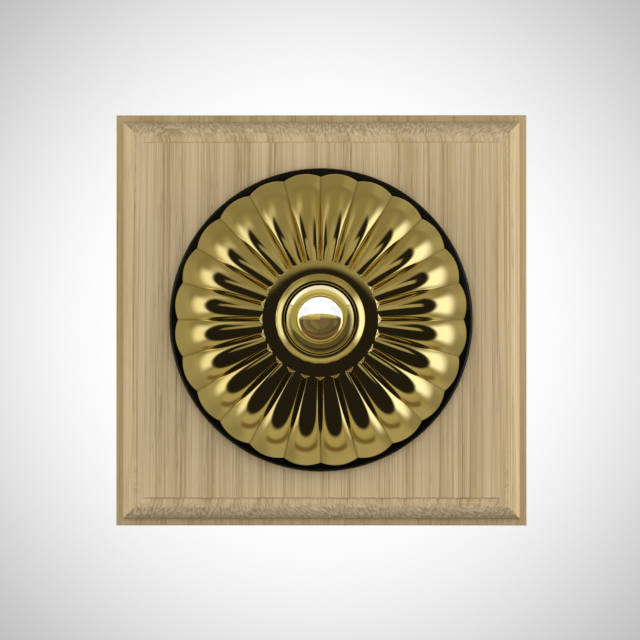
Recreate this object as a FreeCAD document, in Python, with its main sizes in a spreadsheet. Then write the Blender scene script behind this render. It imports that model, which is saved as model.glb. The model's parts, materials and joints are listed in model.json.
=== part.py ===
import FreeCAD
import Part
import Sketcher
import math
import os
import re

# A push button light switch: a moulded oak plinth, a black round base, a fluted brass dome held by
# a ring nut on a threaded bush, and a domed brass button that springs back and closes two contacts.
# Row frame: the wall is the plane y = 0, the front faces -Y, +Z is up, the origin is the centre of the back.
# Each piece is drawn in its own frame with z pointing out of the wall, then turned to face -Y.

doc = FreeCAD.newDocument("push_button_switch")

# Driving sizes in millimetres; depths are counted outwards from the wall.
SIZES = {
    # oak plinth
    "plinth_side": 96.0,
    "plinth_thickness": 19.0,
    "lip_width": 1.6,
    "lip_rise": 0.5,
    "ovolo_radius": 5.0,
    "quirk_rise": 0.6,
    "cable_bore_radius": 23.0,
    "wall_screw_centres": 60.3,
    "wall_hole_radius": 2.1,
    "wall_sink_radius": 3.7,
    "sink_angle": 90.0,
    # black base
    "base_ledge": 1.4,
    "base_shelf": 6.0,
    "base_edge_round": 1.5,
    "spigot_rise": 2.0,
    "spigot_gap": 0.5,
    "pocket_depth": 2.65,
    "pocket_gap": 0.4,
    "wire_hole_radius": 4.0,
    "wire_hole_x": 15.0,
    "wire_hole_y": 10.0,
    # wood screws that hold the base
    "base_screw_margin": 1.1,
    "base_screw_radius": 1.75,
    "base_screw_length": 18.0,
    "base_pilot_over": 1.0,
    "base_screw_head_radius": 3.4,
    "base_screw_head_height": 2.0,
    "screw_gap": 0.2,
    "slot_width": 0.9,
    "slot_depth": 0.9,
    # fluted dome
    "dome_lobes": 24,
    "dome_radius": 33.7,
    "dome_scallop": 0.86,
    "dome_height": 20.0,
    "dome_wall": 0.8,
    "dome_seat_margin": 0.4,
    "dome_hole_gap": 0.15,
    "flute_start_margin": 1.0,
    "flute_runout": 6.0,
    "flute_depth": 1.0,
    # insulating liner
    "liner_gap": 0.5,
    "liner_wall": 0.7,
    "liner_skirt": 2.0,
    "liner_shoulder_inset": 6.5,
    "liner_shoulder_drop": 10.0,
    "liner_mouth_drop": 3.75,
    "liner_mouth_gap": 1.5,
    # ring nut and threaded bush
    "nut_wall": 2.4,
    "nut_height": 2.2,
    "nut_skirt": 0.55,
    "nut_flank_radius": 8.0,
    "nut_crest_wall": 0.9,
    "nut_chamfer": 0.7,
    "thread_radius": 7.8,
    "bush_chamfer": 1.1,
    "bush_rise": 0.8,
    "bush_flange_width": 2.7,
    "bush_flange_thickness": 1.6,
    "bush_floor": 1.5,
    "bush_tail": 0.3,
    "locknut_wall": 3.1,
    "locknut_thickness": 2.2,
    # bridge bracket
    "bracket_thickness": 1.5,
    "bracket_width": 18.0,
    "bracket_half_span": 12.5,
    "bracket_foot": 11.0,
    "bracket_bend": 1.0,
    "bracket_hole_gap": 0.1,
    "bracket_screw_x": 5.0,
    "bracket_screw_inset": 5.0,
    "bracket_screw_radius": 1.5,
    "bracket_screw_length": 5.0,
    "bracket_head_radius": 2.8,
    "bracket_head_height": 1.8,
    "cup_thickness": 0.8,
    "cup_wall": 1.4,
    # button
    "button_radius": 5.2,
    "button_gap": 0.05,
    "button_tip_rise": 4.0,
    "button_crown": 2.2,
    "button_wall": 1.0,
    "button_crown_wall": 3.0,
    "button_stem_radius": 2.25,
    "stem_grip": 5.0,
    "travel": 3.5,
    "press_margin": 0.4,
    "stem_gap": 0.1,
    # return spring and contact spring
    "spring_wire_radius": 0.35,
    "spring_side_gap": 0.35,
    "spring_turns": 4.5,
    "contact_wire_radius": 0.3,
    "contact_side_gap": 0.6,
    "contact_turns": 2.5,
    # clips
    "clip_thickness": 0.8,
    "clip_gap": 0.1,
    "clip_radius": 4.4,
    "clip_groove": 0.5,
    "clip_mouth": 3.0,
    # contact carrier and contact bridge
    "carrier_flange_width": 2.3,
    "carrier_flange": 2.4,
    "carrier_neck_radius": 3.2,
    "carrier_tail": 0.9,
    "bridge_length": 26.0,
    "bridge_width": 8.6,
    "bridge_thickness": 0.8,
    "bridge_gap": 0.1,
    # contact tips, strips and terminals
    "tip_x": 9.0,
    "tip_radius": 1.9,
    "tip_height": 0.9,
    "tip_rivet_radius": 0.9,
    "contact_gap": 0.05,
    "strip_inner_x": 5.8,
    "strip_width": 6.0,
    "strip_thickness": 1.0,
    "terminal_x": 20.0,
    "terminal_width": 7.0,
    "terminal_depth": 9.0,
    "terminal_height": 9.0,
    "terminal_wire_radius": 1.7,
    "terminal_edge": 0.6,
    "clamp_radius": 1.5,
    "clamp_head_radius": 2.5,
    "clamp_head_height": 1.7,
    "fixing_radius": 1.5,
    "fixing_bite": 2.4,
    "fixing_head_radius": 2.7,
    "fixing_head_height": 1.6,
}

sheet = doc.addObject("Spreadsheet::Sheet", "Sizes")
for row, (alias, value) in enumerate(SIZES.items(), start=1):
    sheet.set(f"A{row}", alias)
    sheet.set(f"B{row}", str(value))
    sheet.setAlias(f"B{row}", alias)
doc.recompute()

FACING_OUT = FreeCAD.Rotation(FreeCAD.Vector(1, 0, 0), 90)
ORIGIN = FreeCAD.Vector(0, 0, 0)
UP = FreeCAD.Vector(0, 0, 1)
OUTER_STRIPS = 4
INNER_STRIPS = 2
CUT_OVER = "1"  # how far a cut runs past the piece, so that no skin is left
SEWING_TOLERANCE = 1e-4


def of_sheet(text):
    """An expression on the sheet's aliases, with each alias given its sheet."""
    return re.sub(r"[a-z_]+", lambda word: f"Sizes.{word[0]}" if word[0] in SIZES else word[0], text)


def number(text):
    """The value of such an expression, in millimetres."""
    return float(sheet.evalExpression(of_sheet(str(text))))


# Levels of the stack, out from the wall.
RIM = "plinth_thickness + base_shelf"
DECK = f"{RIM} + spigot_rise"
SEAT = f"{RIM} + dome_height"
FLANGE_TOP = f"{SEAT} - dome_wall"
BRACKET_TOP = f"{FLANGE_TOP} - bush_flange_thickness"
BUSH_BOTTOM = f"{BRACKET_TOP} - bracket_thickness - locknut_thickness - bush_tail"
BUSH_FRONT = f"{SEAT} + nut_height + bush_rise"
BORE_FLOOR = f"{BUSH_BOTTOM} + bush_floor"
BUTTON_TIP = f"{BUSH_FRONT} + button_tip_rise"
CAP_CEILING = f"{BUTTON_TIP} - button_crown_wall"
CLIP_BOTTOM = f"{BUSH_BOTTOM} - clip_gap - clip_thickness"
POCKET_FLOOR = f"{DECK} - pocket_depth"
STRIP_TOP = f"{POCKET_FLOOR} + strip_thickness"
FIXED_TIP_TOP = f"{STRIP_TOP} + tip_height"
BRIDGE_BOTTOM = f"{FIXED_TIP_TOP} + travel + contact_gap + tip_height"
BRIDGE_TOP = f"{BRIDGE_BOTTOM} + bridge_thickness"
CARRIER_SHOULDER = f"{CLIP_BOTTOM} - carrier_flange"
TERMINAL_TOP = f"{STRIP_TOP} + terminal_height"

# Radii and places that follow another piece.
BASE_RADIUS = "dome_radius + base_ledge"
SPIGOT_RADIUS = "dome_radius - dome_scallop - dome_wall - spigot_gap"
NUT_RADIUS = "thread_radius + nut_wall"
SEAT_RADIUS = f"{NUT_RADIUS} + dome_seat_margin"
BRACKET_SCREW_Y = "bracket_half_span + bracket_thickness + bracket_foot - bracket_screw_inset"
BASE_SCREW_SPOT = f"({SPIGOT_RADIUS} - base_screw_head_radius - screw_gap - base_screw_margin) / sqrt(2)"
BUSH_FLANGE = "bush_tail + locknut_thickness + bracket_thickness"
BUSH_LENGTH = f"{BUSH_FLANGE} + bush_flange_thickness + dome_wall + nut_height + bush_rise"

finished = []


def new_body(label, level="0"):
    """An empty body whose own z = 0 stands at a level of the stack, facing out of the wall."""
    body = doc.addObject("PartDesign::Body", label)
    body.Label = label
    place(body, level)
    finished.append(body)
    return body


def place(piece, level):
    piece.Placement = FreeCAD.Placement(ORIGIN, FACING_OUT)
    piece.setExpression("Placement.Base.y", of_sheet(f"-({level})"))


def new_sketch(body, plane, lift="0"):
    """A sketch on one of the body's own planes, lifted along the plane's normal."""
    sketch = body.newObject("Sketcher::SketchObject", f"{body.Name}_sketch")
    support = next(f for f in body.Origin.OriginFeatures if f.Role == plane)
    sketch.AttachmentSupport = (support, [""])
    sketch.MapMode = "FlatFace"
    sketch.setExpression("AttachmentOffset.Base.z", of_sheet(lift))
    return sketch


def bind(sketch, kind, value, *where):
    """A dimension of a sketch that follows an expression on the sheet."""
    index = sketch.addConstraint(Sketcher.Constraint(kind, *where, number(value)))
    sketch.setExpression(f"Constraints[{index}]", of_sheet(str(value)))


def arc_between(start, end, radius, turn):
    """The circle and end angles of the short arc from start to end; turn is 1 if it runs anticlockwise."""
    chord = end - start
    middle = (start + end) * 0.5
    rise = math.sqrt(max(radius ** 2 - (chord.Length / 2) ** 2, 0.0))
    aside = FreeCAD.Vector(-chord.y, chord.x, 0)
    aside.normalize()
    centre = middle + aside * rise * turn
    first, last = (start, end) if turn > 0 else (end, start)
    angles = [math.atan2(p.y - centre.y, p.x - centre.x) for p in (first, last)]
    return Part.ArcOfCircle(Part.Circle(centre, UP, radius), angles[0], angles[1])


def draw_outline(sketch, corners):
    """A closed outline through corners (x, y); a corner (x, y, radius, turn) starts an arc."""
    points = [FreeCAD.Vector(number(c[0]), number(c[1]), 0) for c in corners]
    ends = []
    for k, corner in enumerate(corners):
        start, end = points[k], points[(k + 1) % len(points)]
        if len(corner) == 2:
            edge = sketch.addGeometry(Part.LineSegment(start, end))
            ends.append((edge, 1, 2))
        else:
            radius, turn = corner[2], corner[3]
            edge = sketch.addGeometry(arc_between(start, end, number(radius), turn))
            ends.append((edge, 1, 2) if turn > 0 else (edge, 2, 1))
    for k, corner in enumerate(corners):
        edge, first, last = ends[k]
        after, after_first, _ = ends[(k + 1) % len(ends)]
        sketch.addConstraint(Sketcher.Constraint("Coincident", edge, last, after, after_first))
        bind(sketch, "DistanceX", corner[0], edge, first)
        bind(sketch, "DistanceY", corner[1], edge, first)
        if len(corner) > 2:
            bind(sketch, "Radius", corner[2], edge)


def draw_circle(sketch, x, y, radius):
    centre = FreeCAD.Vector(number(x), number(y), 0)
    edge = sketch.addGeometry(Part.Circle(centre, UP, number(radius)))
    bind(sketch, "DistanceX", x, edge, 3)
    bind(sketch, "DistanceY", y, edge, 3)
    bind(sketch, "Radius", radius, edge)


def rectangle(half_x, half_y, x="0", y="0"):
    """The corners of a rectangle about (x, y)."""
    left, right = f"{x} - ({half_x})", f"{x} + ({half_x})"
    low, high = f"{y} - ({half_y})", f"{y} + ({half_y})"
    return [(left, low), (right, low), (right, high), (left, high)]


def revolve(body, corners):
    """Turns an outline of (radius, height) corners about the body's z axis."""
    sketch = new_sketch(body, "XZ_Plane")
    draw_outline(sketch, corners)
    turned = body.newObject("PartDesign::Revolution", f"{body.Name}_turned")
    turned.Profile = sketch
    turned.ReferenceAxis = (sketch, ["V_Axis"])
    turned.Angle = 360
    doc.recompute()
    return turned


def pad(body, sketch, length, both_sides=False):
    padded = body.newObject("PartDesign::Pad", f"{body.Name}_pad")
    padded.Profile = sketch
    padded.setExpression("Length", of_sheet(length))
    padded.SideType = "Symmetric" if both_sides else "One side"
    doc.recompute()
    return padded


def pocket(body, sketch, depth=None):
    """Cuts a sketch into the body: to a depth against the sketch's normal, or right through both ways."""
    before = body.Shape.Volume
    cut = body.newObject("PartDesign::Pocket", f"{body.Name}_cut")
    cut.Profile = sketch
    if depth is None:
        cut.Type = "ThroughAll"
        cut.SideType = "Symmetric"
    else:
        cut.setExpression("Length", of_sheet(depth))
    doc.recompute()
    if body.Shape.Volume >= before:
        raise ValueError(f"{cut.Name} cuts nothing")
    return cut


def drill(body, spots, radius, level="0", depth=None):
    """Round holes at (x, y) spots, from a level down, or right through."""
    sketch = new_sketch(body, "XY_Plane", level)
    for x, y in spots:
        draw_circle(sketch, x, y, radius)
    return pocket(body, sketch, depth)


def repeat_round_axis(body, count, features=()):
    """Repeats features of a body evenly about its z axis, or the whole body where none are given."""
    pattern = body.newObject("PartDesign::PolarPattern", f"{body.Name}_ring")
    if features:
        pattern.Originals = features
    else:
        pattern.TransformMode = "Whole shape"
    axis = next(f for f in body.Origin.OriginFeatures if f.Role == "Z_Axis")
    pattern.Axis = (axis, [""])
    pattern.Angle = 360
    pattern.Occurrences = count
    body.Tip = pattern
    doc.recompute()


def pair(x, y="0"):
    """A spot and the one half a turn away."""
    return [(x, y), (f"-({x})", f"-({y})")]


def oak_plinth():
    """A square board with an ovolo between two steps worked along all four edges."""
    body = new_body("oak_plinth")
    half = "plinth_side / 2"
    square = new_sketch(body, "XY_Plane")
    draw_outline(square, rectangle(half, half))
    pad(body, square, "plinth_thickness")

    lip_x = f"{half} - lip_width"
    crest_x = f"{lip_x} - ovolo_radius"
    crest = "plinth_thickness - quirk_rise"
    foot = f"{crest} - ovolo_radius"
    lip = f"{foot} - lip_rise"
    edge = new_sketch(body, "XZ_Plane")
    draw_outline(edge, [
        (crest_x, f"plinth_thickness + {CUT_OVER}"),
        (crest_x, crest, "ovolo_radius", -1),
        (lip_x, foot),
        (lip_x, lip),
        (f"{half} + {CUT_OVER}", lip),
        (f"{half} + {CUT_OVER}", f"plinth_thickness + {CUT_OVER}"),
    ])
    moulding = pocket(body, edge)
    repeat_round_axis(body, 4, [moulding])
    drill(body, [("0", "0")], "cable_bore_radius", "plinth_thickness")
    drill(body, pair(BASE_SCREW_SPOT, BASE_SCREW_SPOT), "base_screw_radius", "plinth_thickness",
          "base_screw_length - base_shelf - spigot_rise + base_screw_head_height + base_pilot_over")
    spots = new_sketch(body, "XY_Plane", "plinth_thickness")
    for x, y in pair("wall_screw_centres / 2"):
        draw_circle(spots, x, y, "wall_hole_radius")
    holes = body.newObject("PartDesign::Hole", "oak_plinth_wall_holes")
    holes.Profile = spots
    holes.ThreadType = "None"
    holes.setExpression("Diameter", of_sheet("2 * wall_hole_radius"))
    holes.DepthType = "ThroughAll"
    holes.HoleCutType = "Countersink"
    holes.HoleCutCustomValues = True
    holes.setExpression("HoleCutDiameter", of_sheet("2 * wall_sink_radius"))
    holes.setExpression("HoleCutCountersinkAngle", of_sheet("sink_angle"))
    doc.recompute()


def switch_base():
    """The black moulded base: a rounded shelf, a spigot inside the dome and a pocket for the contacts."""
    body = new_body("switch_base", "plinth_thickness")
    deck = "base_shelf + spigot_rise"
    revolve(body, [
        ("0", "0"),
        (BASE_RADIUS, "0"),
        (BASE_RADIUS, "base_shelf - base_edge_round", "base_edge_round", 1),
        (f"{BASE_RADIUS} - base_edge_round", "base_shelf"),
        (SPIGOT_RADIUS, "base_shelf"),
        (SPIGOT_RADIUS, deck),
        ("0", deck),
    ])
    chamber = new_sketch(body, "XY_Plane", deck)
    draw_outline(chamber, rectangle("terminal_x + terminal_width / 2 + pocket_gap",
                                    "terminal_depth / 2 + pocket_gap"))
    pocket(body, chamber, "pocket_depth")
    drill(body, pair("-wire_hole_x", "wire_hole_y"), "wire_hole_radius", deck)
    drill(body, pair(BASE_SCREW_SPOT, BASE_SCREW_SPOT), "base_screw_radius + screw_gap", deck)
    drill(body, pair(BASE_SCREW_SPOT, BASE_SCREW_SPOT), "base_screw_head_radius + screw_gap", deck,
          "base_screw_head_height")
    drill(body, pair("-bracket_screw_x", BRACKET_SCREW_Y), "bracket_screw_radius", deck,
          "bracket_screw_length")
    drill(body, [("-bracket_screw_x", f"-({BRACKET_SCREW_Y})")], "bracket_screw_radius + screw_gap", deck,
          "bracket_screw_length")
    drill(body, pair("terminal_x"), "fixing_radius + screw_gap", deck)
    back = new_sketch(body, "XY_Plane", "fixing_head_height")
    for x, y in pair("terminal_x"):
        draw_circle(back, x, y, "fixing_head_radius + screw_gap")
    pocket(body, back, f"fixing_head_height + {CUT_OVER}")


def slot(body, x, y, half_length, top):
    """A screwdriver slot across a head whose top is at a level."""
    sketch = new_sketch(body, "XY_Plane", top)
    draw_outline(sketch, rectangle(half_length, "slot_width / 2", x, y))
    pocket(body, sketch, "slot_depth")


def cheese_head_screw(body, x, y, shank_radius, shank_length, head_radius, head_height):
    """A slotted screw standing at (x, y) with the underside of its head at z = 0."""
    shank = new_sketch(body, "XY_Plane", f"-({shank_length})")
    draw_circle(shank, x, y, shank_radius)
    pad(body, shank, shank_length)
    head = new_sketch(body, "XY_Plane")
    draw_circle(head, x, y, head_radius)
    pad(body, head, head_height)
    slot(body, x, y, f"{head_radius} + {CUT_OVER}", head_height)


def base_screws():
    """Two slotted wood screws that hold the base to the plinth."""
    body = new_body("base_screws", f"{DECK} - base_screw_head_height")
    cheese_head_screw(body, BASE_SCREW_SPOT, BASE_SCREW_SPOT, "base_screw_radius", "base_screw_length",
                      "base_screw_head_radius", "base_screw_head_height")
    repeat_round_axis(body, 2)


def fluted_dome():
    """The pressed brass dome: lobes round its axis, each bounded by creases that run out below the nut."""
    lobes = int(number("dome_lobes"))
    step = 2 * math.pi / lobes
    seat_radius = number(SEAT_RADIUS)
    height = number("dome_height")
    reach = number("dome_radius") - seat_radius
    wall = number("dome_wall")
    hole_radius = number("thread_radius + dome_hole_gap")
    flute_start = number(f"{SEAT_RADIUS} + flute_start_margin")
    flute_runout = number("flute_runout")
    flute_depth = number("flute_depth")
    scallop = number("dome_scallop")
    stations = [math.radians(turn) for turn in (0, 8, 16, 30, 50, 70, 90)]

    def crease_depth(turn):
        """Depth of the crease below the ridge, by the angle down the dome's elliptical side."""
        radius = seat_radius + reach * math.sin(turn)
        share = min(max((radius - flute_start) / flute_runout, 0.0), 1.0)
        runout = share * share * (3 - 2 * share)
        low_down = math.sin(turn) ** 6
        return runout * (flute_depth * (1 - low_down) + scallop * low_down)

    def on_side(turn, inset):
        """(radius, height) on the side's ellipse, moved inwards along its normal."""
        normal = FreeCAD.Vector(math.sin(turn) / reach, math.cos(turn) / height, 0)
        normal.normalize()
        radius = seat_radius + reach * math.sin(turn) - inset * normal.x
        return radius, height * math.cos(turn) - inset * normal.y

    def at(radius, level, angle):
        return FreeCAD.Vector(radius * math.cos(angle), radius * math.sin(angle), level)

    def rib(inset, share):
        """A curve down the dome at a share of the way across one lobe, from crease to crease."""
        points = []
        for turn in stations:
            low = on_side(turn, inset + crease_depth(turn))
            arc = Part.Arc(at(*low, 0), at(*on_side(turn, inset), step / 2), at(*low, step))
            points.append(arc.value(arc.FirstParameter + (arc.LastParameter - arc.FirstParameter) * share))
        curve = Part.BSplineCurve()
        curve.interpolate(points)
        return curve.toShape()

    def lobe(inset, strips):
        """One lobe as strips ruled between neighbouring ribs."""
        ribs = [rib(inset, k / strips) for k in range(strips + 1)]
        return [Part.makeRuledSurface(ribs[k], ribs[k + 1]) for k in range(strips)]

    def round_axis(shapes):
        turns = [math.degrees(step) * k for k in range(lobes)]
        return [shape.copy().rotate(ORIGIN, UP, turn) for turn in turns for shape in shapes]

    def ring(faces, level):
        """The closed wire of the faces' edges that lie at a level."""
        edges = [e for face in faces for e in face.Edges if all(abs(v.Z - level) < 1e-6 for v in e.Vertexes)]
        return Part.Wire(Part.__sortEdges__(edges))

    def hole_wire(level):
        return Part.Wire(Part.makeCircle(hole_radius, at(0, level, 0)))

    outside = round_axis(lobe(0.0, OUTER_STRIPS))
    inside = round_axis(lobe(wall, INNER_STRIPS))
    hole = Part.makeCylinder(hole_radius, wall, at(0, height - wall, 0))
    bullseye = "Part::FaceMakerBullseye"
    seat = Part.makeFace([ring(outside, height), hole_wire(height)], bullseye)
    under = Part.makeFace([ring(inside, height - wall), hole_wire(height - wall)], bullseye)
    rim = Part.makeFace([ring(outside, 0), ring(inside, 0)], bullseye)
    bore = next(face for face in hole.Faces if isinstance(face.Surface, Part.Cylinder))
    skin = Part.Compound(outside + inside + seat.Faces + under.Faces + rim.Faces + [bore])
    skin.sewShape(SEWING_TOLERANCE)
    piece = doc.addObject("Part::Feature", "fluted_dome")
    piece.Label = "fluted_dome"
    piece.Shape = Part.Solid(skin.Shells[0])
    place(piece, RIM)
    finished.append(piece)


def insulating_liner():
    """A fibre liner that keeps live parts away from the metal dome; it stands on the base inside the dome."""
    body = new_body("insulating_liner", DECK)
    foot = f"{SPIGOT_RADIUS} - liner_gap"
    shoulder = "dome_radius - liner_shoulder_inset"
    shoulder_height = "dome_height - spigot_rise - liner_shoulder_drop"
    reach = "bracket_half_span + bracket_thickness"
    mouth = f"sqrt(({reach}) * ({reach}) + bracket_width * bracket_width / 4) + liner_mouth_gap"
    mouth_height = "dome_height - spigot_rise - liner_mouth_drop"
    revolve(body, [
        (f"{foot} - liner_wall", "0"),
        (foot, "0"),
        (foot, "liner_skirt"),
        (shoulder, shoulder_height),
        (mouth, mouth_height),
        (mouth, f"{mouth_height} - liner_wall"),
        (f"{shoulder} - liner_wall", f"{shoulder_height} - liner_wall"),
        (f"{foot} - liner_wall", "liner_skirt"),
    ])


def ring_nut():
    """The brass ring nut that holds the dome down on the bush."""
    body = new_body("ring_nut", SEAT)
    revolve(body, [
        ("thread_radius", "0"),
        (NUT_RADIUS, "0"),
        (NUT_RADIUS, "nut_skirt", "nut_flank_radius", 1),
        ("thread_radius + nut_crest_wall", "nut_height"),
        ("thread_radius + nut_chamfer / 2", "nut_height"),
        ("thread_radius", "nut_height - nut_chamfer"),
    ])


def threaded_bush():
    """The brass bush: its flange clamps the dome from below and its bore guides the button."""
    body = new_body("threaded_bush", BUSH_BOTTOM)
    flange = BUSH_FLANGE
    front = BUSH_LENGTH
    bore = "button_radius + button_gap"
    revolve(body, [
        ("button_stem_radius + stem_gap", "0"),
        ("thread_radius", "0"),
        ("thread_radius", flange),
        ("thread_radius + bush_flange_width", flange),
        ("thread_radius + bush_flange_width", f"{flange} + bush_flange_thickness"),
        ("thread_radius", f"{flange} + bush_flange_thickness"),
        ("thread_radius", f"{front} - bush_chamfer"),
        ("thread_radius - bush_chamfer", front),
        (bore, front),
        (bore, "bush_floor"),
        ("button_stem_radius + stem_gap", "bush_floor"),
    ])


def bush_locknut():
    """The hexagon nut that holds the bush to the bracket."""
    body = new_body("bush_locknut", f"{BRACKET_TOP} - bracket_thickness - locknut_thickness")
    hexagon = new_sketch(body, "XY_Plane")
    far = "(thread_radius + locknut_wall)"
    side = f"{far} * sqrt(3) / 2"
    draw_outline(hexagon, [
        (far, "0"),
        (f"{far} / 2", side),
        (f"-{far} / 2", side),
        (f"-{far}", "0"),
        (f"-{far} / 2", f"-{side}"),
        (f"{far} / 2", f"-{side}"),
    ])
    pad(body, hexagon, "locknut_thickness")
    drill(body, [("0", "0")], "thread_radius", "locknut_thickness")


def bridge_bracket():
    """A strap folded into a bridge over the contacts, with a hole for the bush and two feet on the base."""
    body = new_body("bridge_bracket", DECK)
    rise = "dome_height - dome_wall - bush_flange_thickness - spigot_rise"
    under = f"{rise} - bracket_thickness"
    inner = "bracket_half_span"
    outer = "bracket_half_span + bracket_thickness"
    toe = f"{outer} + bracket_foot"
    tight = "bracket_bend"
    wide = "(bracket_bend + bracket_thickness)"
    strap = new_sketch(body, "YZ_Plane")
    draw_outline(strap, [
        (f"-({toe})", "0"),
        (f"-({inner} + {wide})", "0", wide, 1),
        (f"-({inner})", wide),
        (f"-({inner})", f"{under} - {tight}", tight, -1),
        (f"-({inner} - {tight})", under),
        (f"{inner} - {tight}", under, tight, -1),
        (inner, f"{under} - {tight}"),
        (inner, wide, wide, 1),
        (f"{inner} + {wide}", "0"),
        (toe, "0"),
        (toe, "bracket_thickness"),
        (f"{outer} + {tight}", "bracket_thickness", tight, -1),
        (outer, f"bracket_thickness + {tight}"),
        (outer, f"{rise} - {wide}", wide, 1),
        (f"{outer} - {wide}", rise),
        (f"-({outer} - {wide})", rise, wide, 1),
        (f"-({outer})", f"{rise} - {wide}"),
        (f"-({outer})", f"bracket_thickness + {tight}", tight, -1),
        (f"-({outer} + {tight})", "bracket_thickness"),
        (f"-({toe})", "bracket_thickness"),
    ])
    pad(body, strap, "bracket_width", both_sides=True)
    drill(body, [("0", "0")], "thread_radius + bracket_hole_gap", rise, "2 * bracket_thickness")
    feet = pair("-bracket_screw_x", BRACKET_SCREW_Y) + [("-bracket_screw_x", f"-({BRACKET_SCREW_Y})")]
    drill(body, feet, "bracket_screw_radius + screw_gap", "bracket_thickness", "2 * bracket_thickness")


def bracket_screws():
    """Two slotted screws that hold the bracket's feet to the base."""
    body = new_body("bracket_screws", f"{DECK} + bracket_thickness")
    cheese_head_screw(body, "-bracket_screw_x", BRACKET_SCREW_Y, "bracket_screw_radius",
                      "bracket_screw_length", "bracket_head_radius", "bracket_head_height")
    repeat_round_axis(body, 2)


def earth_screw():
    """The screw that clamps the earth wire under its cup washer."""
    body = new_body("earth_screw", f"{DECK} + bracket_thickness + cup_thickness")
    cheese_head_screw(body, "-bracket_screw_x", f"-({BRACKET_SCREW_Y})", "bracket_screw_radius",
                      "bracket_screw_length", "bracket_head_radius", "bracket_head_height")


def earth_cup_washer():
    """A square washer with two sides turned up to keep the earth wire under the screw's head."""
    body = new_body("earth_cup_washer", f"{DECK} + bracket_thickness")
    half = "bracket_head_radius + screw_gap + cup_thickness"
    x, y = "-bracket_screw_x", f"-({BRACKET_SCREW_Y})"
    blank = new_sketch(body, "XY_Plane")
    draw_outline(blank, rectangle(half, half, x, y))
    pad(body, blank, "cup_thickness + cup_wall")
    channel = new_sketch(body, "XY_Plane", "cup_thickness + cup_wall")
    draw_outline(channel, rectangle("bracket_head_radius + screw_gap", f"{half} + {CUT_OVER}", x, y))
    pocket(body, channel, "cup_wall")
    drill(body, [(x, y)], "bracket_screw_radius + screw_gap", "cup_thickness")


def push_button():
    """The button: a hollow brass cap with a domed crown, turned in one piece with its stem."""
    body = new_body("push_button", BUSH_BOTTOM)
    groove_top = "-clip_gap"
    groove_bottom = f"{groove_top} - clip_thickness"
    stem_end = f"{groove_bottom} - stem_grip"
    tip = f"{BUSH_LENGTH} + button_tip_rise"
    ceiling = f"{tip} - button_crown_wall"
    cap_edge = "bush_floor + travel + press_margin"
    waist = "button_stem_radius - clip_groove"
    inside = "button_radius - button_wall"
    revolve(body, [
        ("0", stem_end),
        ("button_stem_radius", stem_end),
        ("button_stem_radius", groove_bottom),
        (waist, groove_bottom),
        (waist, groove_top),
        ("button_stem_radius", groove_top),
        ("button_stem_radius", ceiling),
        (inside, ceiling),
        (inside, cap_edge),
        ("button_radius", cap_edge),
        ("button_radius", f"{tip} - button_crown",
         "(button_radius * button_radius + button_crown * button_crown) / (2 * button_crown)", 1),
        ("0", tip),
    ])


def coil_spring(label, level, length, wire_radius, coil_radius, turns):
    """An open coil standing on a level, with the given length over its wire, which has six sides."""
    body = new_body(label, level)
    section = new_sketch(body, "XZ_Plane")
    flat = f"{wire_radius} * sqrt(3) / 2"
    draw_outline(section, [
        (f"{coil_radius} - {flat}", f"{wire_radius} / 2"),
        (coil_radius, "0"),
        (f"{coil_radius} + {flat}", f"{wire_radius} / 2"),
        (f"{coil_radius} + {flat}", f"{wire_radius} * 3 / 2"),
        (coil_radius, f"{wire_radius} * 2"),
        (f"{coil_radius} - {flat}", f"{wire_radius} * 3 / 2"),
    ])
    coil = body.newObject("PartDesign::AdditiveHelix", f"{label}_coil")
    coil.Profile = section
    coil.ReferenceAxis = (section, ["V_Axis"])
    coil.Mode = "height-turns-angle"
    coil.setExpression("Height", of_sheet(f"{length} - 2 * {wire_radius}"))
    coil.setExpression("Turns", of_sheet(turns))
    coil.Angle = 0
    doc.recompute()


def return_spring():
    """The spring inside the cap that pushes the button out."""
    coil_spring("return_spring", BORE_FLOOR, f"({CAP_CEILING}) - ({BORE_FLOOR})",
                "spring_wire_radius", "(button_radius - button_wall - spring_side_gap - spring_wire_radius)",
                "spring_turns")


def contact_spring():
    """The spring that holds the contact bridge down on its clip."""
    coil_spring("contact_spring", BRIDGE_TOP, f"({CARRIER_SHOULDER}) - ({BRIDGE_TOP})",
                "contact_wire_radius", "(carrier_neck_radius + contact_side_gap + contact_wire_radius)",
                "contact_turns")


def c_clip(label, level, groove_radius):
    """A spring clip, open at one side, in a groove."""
    body = new_body(label, level)
    revolve(body, [
        (groove_radius, "0"),
        ("clip_radius", "0"),
        ("clip_radius", "clip_thickness"),
        (groove_radius, "clip_thickness"),
    ])
    mouth = new_sketch(body, "XY_Plane", "clip_thickness")
    draw_outline(mouth, rectangle("clip_radius / 2", "clip_mouth / 2", f"clip_radius / 2 + {CUT_OVER}"))
    pocket(body, mouth, "clip_thickness")


def button_clip():
    """The clip that stops the button from leaving the bush."""
    c_clip("button_clip", CLIP_BOTTOM, "button_stem_radius - clip_groove")


def bridge_clip():
    """The clip that the contact bridge rests on."""
    c_clip("bridge_clip", f"{BRIDGE_BOTTOM} - clip_thickness", "carrier_neck_radius - clip_groove")


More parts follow.
